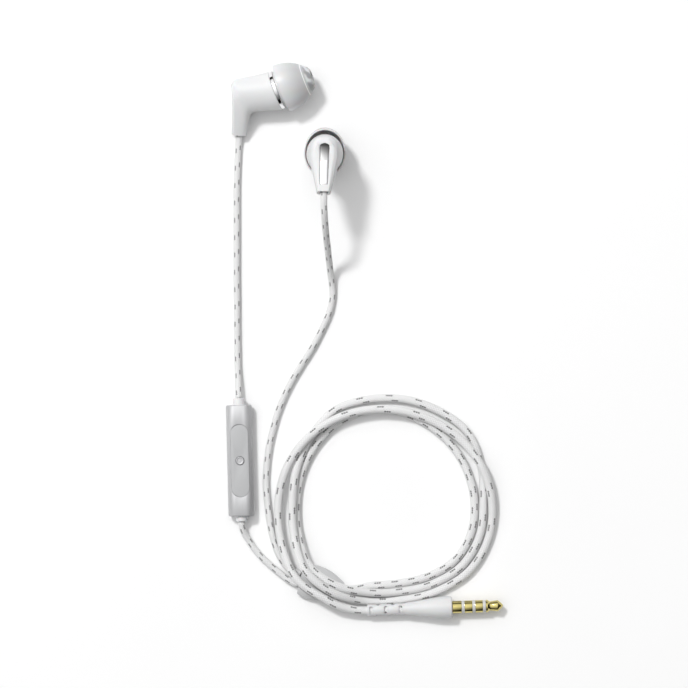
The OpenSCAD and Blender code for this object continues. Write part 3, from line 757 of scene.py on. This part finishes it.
def inlay(name, place, nodes):
    stations = slot_stations()[2:-1]
    points, faces = inlay_part(stations, INLAY_T - 0.1, INLAY_CLEAR, INLAY_CROWN)
    new_piece(name, points, faces, INLAY, place=place, replaces=nodes, smooth=40)
    span = SLOT_BOTTOM - SLOT_TOP
    polished = []
    for k in range(POLISHED_STEPS + 1):
        u = SLOT_TOP + span * (POLISHED_FROM + (POLISHED_TO - POLISHED_FROM) * k / POLISHED_STEPS)
        polished.append((u, SLOT_BOTTOM_R * 1.12 + 0.1 * (SLOT_BOTTOM - u) / span, 0.0))
    points, faces = inlay_part(polished, INLAY_T + 0.06, 2 * INLAY_CLEAR, 0.0)
    new_piece(name + "_polished_end", points, faces, POLISHED, place=place, smooth=40)


TRIM_WALL = 0.9


def trim_ring(name, place, nodes):
    r, inner = BUD_H / 2, BUD_H / 2 - TRIM_WALL
    outline = rounded(
        [(GAP, inner), (GAP, r), (TRIM_W, r), (TRIM_W, inner)], [0.02, 0.14, 0.2, 0.02], steps=5
    )
    points, faces = revolved(outline, BUD_W / BUD_H, steps=144)
    new_piece(name, points, faces, CHROME, place=place, replaces=nodes, smooth=50)


# An ear tip's radii: the bore of the tube on the nozzle, the tube's outside, and where the full oval starts
TIP_BORE = NOZZLE_D / 2 + TIP_CLEARANCE
TUBE_R, OVAL_FROM = TIP_BORE + 0.8, 4.5


def oval(radius):
    """How far an ear tip narrows along Z at a radius. The tube on the round nozzle stays round."""
    share = min(max((radius - TUBE_R) / (OVAL_FROM - TUBE_R), 0), 1)
    return 1 + share * (TIP_W / TIP_H - 1)


def ear_tip(name, body, place, nodes):
    rim = TIP_H / 2
    dome = [(1.85, 6.88), (3.6, 6.8), (5.4, 6.42), (7, 5.8), (8.4, 4.95), (9.5, 4.05), (10.25, 3.35)]
    outside = [tuple(p) for p in spline(dome, 5)]
    mouth = [(10.42, 3.22), (10.6, 3.08), (10.85, 2.8), (11, 2.55), (11.08, 2.3), (11, 2.1), (10.8, 2),
             (10.4, 1.96)]
    tube = [(8.5, 1.95), (7.9, 1.95), (7.85, TIP_BORE), (2.4, TIP_BORE), (2.3, TIP_BORE + 0.06),
            (2.3, TUBE_R - 0.08), (2.4, TUBE_R), (9, TUBE_R), (9.6, TUBE_R + 0.06)]
    inside = [(x - 0.3, r - TIP_WALL) for x, r in reversed(dome[1:-1])]
    edge = [(2.2, rim - 0.62), (1.85, rim - 0.5), (1.72, rim - 0.32), (1.74, rim - 0.1)]
    outline = outside + mouth + tube + inside + edge
    points, faces = revolved(outline, steps=128)
    points = [(x, y, z * oval(math.hypot(y, z))) for x, y, z in points]
    new_piece(name, points, faces, SILICONE, body=body, place=place, replaces=nodes, smooth=32)


for side, place in (("left", LEFT_EAR), ("right", RIGHT_EAR)):
    housing(f"{side}_shell", place, [f"{side}_housing"])
    inlay(f"{side}_inlay", place, [f"{side}_back_inlay"])
    trim_ring(f"{side}_chrome_ring", place, [f"{side}_trim_ring"])
    ear_tip(f"{side}_silicone_tip", f"{side}_tip", place, [f"{side}_ear_tip"])

# ---- the remote


def stadium(l, w, inset, z, steps=24):
    """A long hole's outline, as points at height z."""
    r, half = w / 2 - inset, (l - w) / 2
    ends = [(k * math.pi / steps, half) for k in range(steps + 1)]
    ends += [(math.pi + k * math.pi / steps, -half) for k in range(steps + 1)]
    return [(r * math.cos(t), y + r * math.sin(t), z) for t, y in ends]


def plain_object(points, faces):
    made = new_object("part", new_mesh("part", points, faces))
    work = bmesh.new()
    work.from_mesh(made.data)
    bmesh.ops.recalc_face_normals(work, faces=work.faces)
    work.to_mesh(made.data)
    work.free()
    return made


def carved(name, solid, cutters, bevel_mm, material, place, replaces, smooth=35):
    """A solid less its cutters, with the edges that are left eased."""
    whole = plain_object(*solid)
    tools = [plain_object(*c) for c in cutters]
    for tool in tools:
        cut = whole.modifiers.new("cut", "BOOLEAN")
        cut.object = tool
        cut.solver = "EXACT"
    ease = whole.modifiers.new("ease", "BEVEL")
    ease.width = bevel_mm * MM
    ease.segments = 3
    ease.limit_method = "ANGLE"
    ease.angle_limit = math.radians(38)
    ease.use_clamp_overlap = True
    bpy.context.view_layer.update()
    mesh = bpy.data.meshes.new_from_object(whole.evaluated_get(bpy.context.evaluated_depsgraph_get()))
    mesh.name = name
    for made in [whole, *tools]:
        bpy.data.objects.remove(made)
    return finish_piece(name, mesh, material, place, smooth, ROOT, replaces)


def bar_ring(w, h, r, y, inset=0.0, steps=10):
    """A rectangle of w by h across the remote at y, with corners of radius r."""
    outline = []
    for cx, cz, first in ((1, 1, 0), (-1, 1, 90), (-1, -1, 180), (1, -1, 270)):
        for k in range(steps + 1):
            t = math.radians(first + 90 * k / steps)
            radius = r - min(inset, r - 0.05)
            x, z = cx * (w / 2 - r), cz * (h / 2 - r)
            outline.append((x + radius * math.cos(t), y, z + radius * math.sin(t)))
    return outline


PANEL_L, PANEL_W, PANEL_T, PANEL_SINK = 20.4, 5.1, 0.9, 0.25
BUTTON_D, BUTTON_CLEAR, BUTTON_DEPTH = 2.3, 0.05, 1.1
CORNER_R, END_EASE = 2.3, 0.35
REMOTE_WALL, HOLLOW_R = 0.7, 1.6
half_l = REMOTE_L / 2
bar_ends = [(-half_l, END_EASE), (-half_l + 0.1, 0.12), (-half_l + END_EASE, 0)]
body_rings = [bar_ring(REMOTE_W, REMOTE_H, CORNER_R, y, inset) for y, inset in bar_ends]
body_rings += [bar_ring(REMOTE_W, REMOTE_H, CORNER_R, -y, inset) for y, inset in reversed(bar_ends)]
hollow_w, hollow_h = REMOTE_W - 2 * REMOTE_WALL, REMOTE_H - 2 * REMOTE_WALL
hollow_rings = [bar_ring(hollow_w, hollow_h, HOLLOW_R, y) for y in (-half_l - 1, half_l + 1)]
pocket = stacked([stadium(PANEL_L, PANEL_W, 0, z) for z in (0, REMOTE_H)])
carved("remote_shell", stacked(body_rings), [stacked(hollow_rings), pocket], 0.14, ALUMINIUM,
       place=ON_REMOTE, replaces=["remote_body"])
panel_top = REMOTE_H / 2 - PANEL_SINK
panel_rings = [stadium(PANEL_L, PANEL_W, GAP, z) for z in (panel_top - PANEL_T, panel_top)]
upright = turned("Y", -90)
button_r = BUTTON_D / 2
hole_r = button_r + BUTTON_CLEAR
points, faces = revolved([(0, 0), (0, hole_r), (2 * REMOTE_H, hole_r), (2 * REMOTE_H, 0)], steps=64)
button_hole = ([upright @ Vector(p) - Vector((0, 0, REMOTE_H)) for p in points], faces)
carved("remote_grey_panel", stacked(panel_rings), [button_hole], 0.16, PANEL_GREY,
       place=ON_REMOTE, replaces=["remote_panel"])

button_base = Vector((0, 0, panel_top - BUTTON_DEPTH))
button_profile = [
    (0, 0), (0, button_r), (1.35, button_r), (1.46, button_r - 0.06), (1.5, button_r - 0.16),
    (1.5, button_r - 0.24), (1.44, button_r - 0.34), (1.42, 0.5), (1.44, 0.2), (1.45, 0),
]
points, faces = revolved(button_profile, steps=72)
new_piece("talk_button", [upright @ Vector(p) + button_base for p in points], faces, BUTTON_METAL,
          body="call_button", place=ON_REMOTE, replaces=["remote_button"], smooth=40)

PLUG_IN, PLUG_CORNER_R, PLUG_EASE = 2.6, 1.55, 0.1
COLLAR_BORE, COLLAR_STEPS = 0.6, 17


def collar(name, l, d, turn, nodes):
    """A ring where the cable goes in, on a plug that closes the body's end."""
    plug = (hollow_w - 2 * GAP, hollow_h - 2 * GAP, PLUG_CORNER_R)
    plug_ends = [(half_l - PLUG_IN, 0), (half_l - PLUG_EASE, 0), (half_l, PLUG_EASE)]
    rings = [bar_ring(*plug, y, inset, COLLAR_STEPS) for y, inset in plug_ends]
    face, hole = half_l + l, EAR_CABLE_D / 2
    profile = rounded(
        [(half_l, d / 2), (face, d / 2), (face, hole + 0.06), (face - 0.25, hole),
         (face - 0.3, COLLAR_BORE), (half_l - PLUG_IN, COLLAR_BORE)],
        [0, 0.3, 0.08, 0.02, 0.02, 0], steps=4, closed=False,
    )
    n = len(rings[0])
    around = [2 * math.pi * (k + 0.5) / n for k in range(n)]
    rings += [[(r * math.cos(t), y, r * math.sin(t)) for t in around] for y, r in profile]
    points = [turned("Z", turn) @ Vector(p) for ring in rings for p in ring]
    new_piece(name, points, ring_faces(len(rings), n, closed=True), SHELL, place=ON_REMOTE,
              replaces=nodes, smooth=40)


collar("remote_top_ring", 1.9, 3.3, 0, ["remote_top_collar"])
collar("remote_bottom_ring", 1.5, 3.2, 180, ["remote_bottom_collar"])

# ---- the splitter

SPLITTER_ROWS = [(0, 0.85, 0.84), (0.12, 0.95, 0.95), (0.3, 1, 1), (0.5, 0.95, 1), (0.68, 0.82, 0.95),
                 (0.84, 0.62, 0.88), (1, 0.38, 0.8)]
SPLITTER_WALL, ARCH_STEPS = 0.7, 32
END_INSET, END_SHARE = 0.15, 0.012  # the eased edge at each end, inwards and as a share of the length


def splitter_arch(row, side, shrink=0.0):
    share, wide, high = row
    a, b = wide * SPLITTER_W / 2 - shrink, high * (SPLITTER_H - GAP) / 2 - shrink
    half_turn = [math.pi * k / ARCH_STEPS for k in range(ARCH_STEPS + 1)]
    out = [(a * math.cos(t), b * math.sin(t) ** 0.85) for t in half_turn]
    in_a, in_b = a - SPLITTER_WALL, b - SPLITTER_WALL
    wall_in = [(in_a * math.cos(t), in_b * math.sin(t)) for t in reversed(half_turn)]
    out[0], out[-1] = (a - 0.08, 0), (-a + 0.08, 0)
    out.insert(1, (a, 0.12))
    out.insert(-1, (-a, 0.12))
    return [(share * SPLITTER_L, y, SPLITTER_H / 2 + side * (z + GAP / 2)) for y, z in out + wall_in]


def splitter_shell(name, side, nodes):
    rows = [tuple(p) for p in spline(SPLITTER_ROWS, 6)]
    first, last = rows[0], rows[-1]
    full = [(END_SHARE, *first[1:]), *rows[1:-1], (1 - END_SHARE, *last[1:])]
    rings = [splitter_arch(row, side) for row in full]
    rings = [splitter_arch(first, side, END_INSET), *rings, splitter_arch(last, side, END_INSET)]
    n = len(rings[0])
    faces = ring_faces(len(rings), n)
    for start in (0, (len(rings) - 1) * n):
        end = start + n - 1
        faces += [(start + k, start + k + 1, end - 1 - k, end - k) for k in range(n // 2 - 1)]
    new_piece(name, [p for ring in rings for p in ring], faces, PALE, place=ON_SPLITTER,
              replaces=nodes, smooth=38)


splitter_shell("splitter_upper_shell", 1, ["splitter_top"])
splitter_shell("splitter_lower_shell", -1, ["splitter_bottom"])

# ---- the plug

SLEEVE_L, RING_2_L, RING_1_L, INSULATOR_L, SHOULDER_L = 2.6, 2.2, 2.1, 0.8, 0.6
RING_2_X = SLEEVE_L + INSULATOR_L
RING_1_X = RING_2_X + RING_2_L + INSULATOR_L
TIP_X = RING_1_X + RING_1_L + INSULATOR_L
CORE_R, PIN_R, ROOT_R, ROOT_L, BOOT_FACE, WIRE_HOLE_R = 1.1, 0.55, 1.45, 3, 0.08, 0.6
WINDOW_L, WINDOW_W, WINDOW_PITCH = 1, 2.1, 4.1
# (distance from the boot's body, windows in the row, turns about the cable)
WINDOWS = [(0.4, 3, (0, 180)), (2.5, 2, (90, 270))]
PLUG_R = PLUG_D / 2


def contact(name, profile, radius, material, nodes):
    points, faces = revolved(rounded(profile, radius, steps=3) if radius else profile, steps=96)
    return new_piece(name, points, faces, material, place=ON_PLUG, replaces=nodes, smooth=32)


def ring_contact(name, x, l, nodes):
    start, end, inner = x + GAP / 2, x + l - GAP / 2, CORE_R + GAP
    profile = [(start, inner), (start, PLUG_R), (end, PLUG_R), (end, inner)]
    return contact(name, profile, [0.02, 0.09, 0.09, 0.02], GOLD, nodes)


sleeve_outline = [(-ROOT_L, CORE_R + GAP), (-ROOT_L, ROOT_R), (GAP / 2, ROOT_R), (GAP / 2, PLUG_R),
                  (SLEEVE_L - GAP / 2, PLUG_R), (SLEEVE_L - GAP / 2, CORE_R + GAP)]
plug_pieces = [
    contact("plug_gold_sleeve", sleeve_outline, [0.02, 0.05, 0.02, 0.09, 0.09, 0.02], GOLD,
            ["plug_sleeve"]),
    ring_contact("plug_gold_ring_2", RING_2_X, RING_2_L, ["plug_ring_2"]),
    ring_contact("plug_gold_ring_1", RING_1_X, RING_1_L, ["plug_ring_1"]),
]
shoulder = TIP_X + SHOULDER_L
# The tip's neck and head, as (distance from its shoulder, radius)
TIP_HEAD = [
    (0.2, 1.58), (0.42, 1.36), (0.62, 1.3), (0.85, 1.3), (1.2, 1.35), (1.7, 1.43), (2.2, 1.5), (2.6, 1.55),
    (2.75, 1.55), (2.9, 1.49), (3.15, 1.29), (3.6, 0.91), (4, 0.52), (4.17, 0.3), (4.25, 0.12), (4.25, 0),
]
tip_outline = [(-4, 0), (-4, PIN_R), (TIP_X + GAP, PIN_R), (TIP_X + GAP, PLUG_R - 0.08),
               (TIP_X + GAP + 0.08, PLUG_R), (shoulder - 0.05, PLUG_R)]
tip_outline += [(shoulder + x, radius) for x, radius in TIP_HEAD]
plug_pieces.append(contact("plug_gold_tip", tip_outline, 0, GOLD, ["plug_tip"]))
insulator_outline = [(-ROOT_L, PIN_R + GAP), (-ROOT_L, CORE_R)]
for x in (SLEEVE_L, RING_2_X + RING_2_L, RING_1_X + RING_1_L):
    insulator_outline += [(x, CORE_R), (x, PLUG_R), (x + INSULATOR_L, PLUG_R), (x + INSULATOR_L, CORE_R)]
insulator_outline[-1] = (TIP_X, PIN_R + GAP)
plug_pieces.append(
    contact("plug_insulating_rings", insulator_outline, 0.05, INSULATOR, ["plug_insulator"])
)

big, thin, bore = BOOT_D / 2, RELIEF_D / 2, (MAIN_CABLE_D + 0.12) / 2
back = -BOOT_L - RELIEF_L
taper = [
    (-BOOT_FACE - 0.35, big), (-1.2, big), (-2.6, big - 0.02), (-4, big - 0.12), (-6, big - 0.38),
    (-8, big - 0.7), (-10.2, big - 1.02), (1.4 - BOOT_L, thin + 0.28), (0.5 - BOOT_L, thin + 0.06),
    (-BOOT_L, thin),
]
boot_outline = [(-BOOT_FACE, ROOT_R + GAP), (-BOOT_FACE, big - 0.35), (-BOOT_FACE - 0.03, big - 0.2),
                (-BOOT_FACE - 0.13, big - 0.07)]
boot_outline += [tuple(p) for p in spline(taper, 4)]
boot_outline += [(back + 0.25, thin), (back + 0.08, thin - 0.07), (back, thin - 0.22), (back, bore),
                 (-BOOT_L, bore), (-BOOT_L, WIRE_HOLE_R), (-ROOT_L - 1.1, WIRE_HOLE_R),
                 (-ROOT_L - 1.1, ROOT_R + GAP)]


def window_cutter(x, turn):
    """A window with round ends, from the relief's side inwards."""
    rings = []
    for z in (0.5, RELIEF_D):
        ring = stadium(WINDOW_W, WINDOW_L, 0, z, steps=12)
        rings.append([turned("X", turn) @ Vector((px + x - WINDOW_L / 2, py, pz)) for px, py, pz in ring])
    return stacked(rings)


windows = []
for start, count, turns in WINDOWS:
    along = [-BOOT_L - start - i * WINDOW_PITCH for i in range(count)]
    windows += [window_cutter(x, turn) for x in along for turn in turns]
boot = carved("plug_soft_boot", revolved(boot_outline, steps=96), windows, 0.07, BOOT_WHITE,
              place=ON_PLUG, replaces=["plug_boot"], smooth=40)

# ---- CAD nodes that show as they are

CARRIED = {
    "nozzle": NOZZLE_WHITE, "nozzle_screen": SCREEN, "driver_frame": STEEL, "driver_magnet": MAGNET,
    "diaphragm": FILM, "stem_grommet": GREY_RUBBER,
}
finishes = {f"{side}_{part}": finish for side in ("left", "right") for part, finish in CARRIED.items()}
finishes |= {
    "remote_switch": BLACK_PLASTIC, "remote_circuit_board": BOARD, "remote_microphone": STEEL,
    "splitter_core": CORE,
}
for node, finish in finishes.items():
    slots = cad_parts[node].data.materials
    slots.clear()
    slots.append(finish)

# ---- floor, light and camera

VIEW_CENTRE, VIEW_ACROSS, CAMERA_HEIGHT = (15.83, -59.66), 192.7, 1200
SENSOR = 36
camera_data = bpy.data.cameras.new("camera")
camera_data.sensor_width = SENSOR
camera_data.lens = SENSOR * CAMERA_HEIGHT / VIEW_ACROSS
camera_data.clip_start = 0.01
camera = new_object("camera", camera_data)
camera.location = (VIEW_CENTRE[0] * MM, VIEW_CENTRE[1] * MM, CAMERA_HEIGHT * MM)
bpy.context.scene.camera = camera

FLOOR_HALF = 1.5  # metres
g = Graph("floor")
floor_paint = g.surface(base_color=g.mix(g.noise(g.cad_place(), 0.02), 0.9, 0.92), roughness=0.9)
floor_mesh = bpy.data.meshes.new("floor")
corners = [(-1, -1), (1, -1), (1, 1), (-1, 1)]
floor_mesh.from_pydata([(FLOOR_HALF * x, FLOOR_HALF * y, 0) for x, y in corners], [], [(0, 1, 2, 3)])
floor_mesh.materials.append(floor_paint)
floor = new_object("floor", floor_mesh)


def soft_light(name, towards, distance, size, watts):
    """A square area light that looks at the middle of the view. towards is the way to it, and its distance
    and size are in metres."""
    data = bpy.data.lights.new(name, "AREA")
    data.size = size
    data.energy = watts
    lamp = new_object(name, data)
    middle = Vector((*VIEW_CENTRE, 0)) * MM
    way = Vector(towards).normalized()
    lamp.location = middle + way * distance
    lamp.rotation_mode = "QUATERNION"
    lamp.rotation_quaternion = way.to_track_quat("Z", "Y")


soft_light("key", (-0.34, 0.43, 0.84), 1.7, 0.22, 15.5)

# The studio is brightest on the key light's side and dims towards the opposite side
BRIGHT_SIDE, MIDDLE_LEVEL, STUDIO_STRENGTH = (-0.6, 0.6, 0), 0.7, 1.36
# (height, from 0 straight down to 1 straight up, level)
STUDIO_LEVELS = [(0, 0.8), (0.1, 0.7), (0.16, 0.02), (0.4, 0.02), (0.5, 0.7), (0.8, 0.85), (0.9, 1.1),
                 (1, 1.2)]
world = bpy.data.worlds.new("studio")
world.use_nodes = True
nodes, links = world.node_tree.nodes, world.node_tree.links
place = nodes.new("ShaderNodeTexCoord")
split = nodes.new("ShaderNodeSeparateXYZ")
ramp = nodes.new("ShaderNodeValToRGB")
links.new(place.outputs["Generated"], split.inputs[0])
links.new(split.outputs["Z"], ramp.inputs["Fac"])
lean = nodes.new("ShaderNodeVectorMath")
lean.operation = "DOT_PRODUCT"
lean.inputs[1].default_value = BRIGHT_SIDE
links.new(place.outputs["Generated"], lean.inputs[0])
dimming = nodes.new("ShaderNodeMath")
dimming.use_clamp = True
dimming.inputs[1].default_value = MIDDLE_LEVEL
links.new(lean.outputs["Value"], dimming.inputs[0])
shaded = nodes.new("ShaderNodeVectorMath")
shaded.operation = "SCALE"
links.new(ramp.outputs["Color"], shaded.inputs[0])
links.new(dimming.outputs[0], shaded.inputs["Scale"])
for position, _ in STUDIO_LEVELS[1:-1]:
    ramp.color_ramp.elements.new(position)
for element, (_, level) in zip(ramp.color_ramp.elements, STUDIO_LEVELS):
    element.color = (level, level, level, 1)
links.new(shaded.outputs["Vector"], nodes["Background"].inputs["Color"])
nodes["Background"].inputs["Strength"].default_value = STUDIO_STRENGTH
bpy.context.scene.world = world
bpy.context.scene.view_settings.view_transform = "Standard"
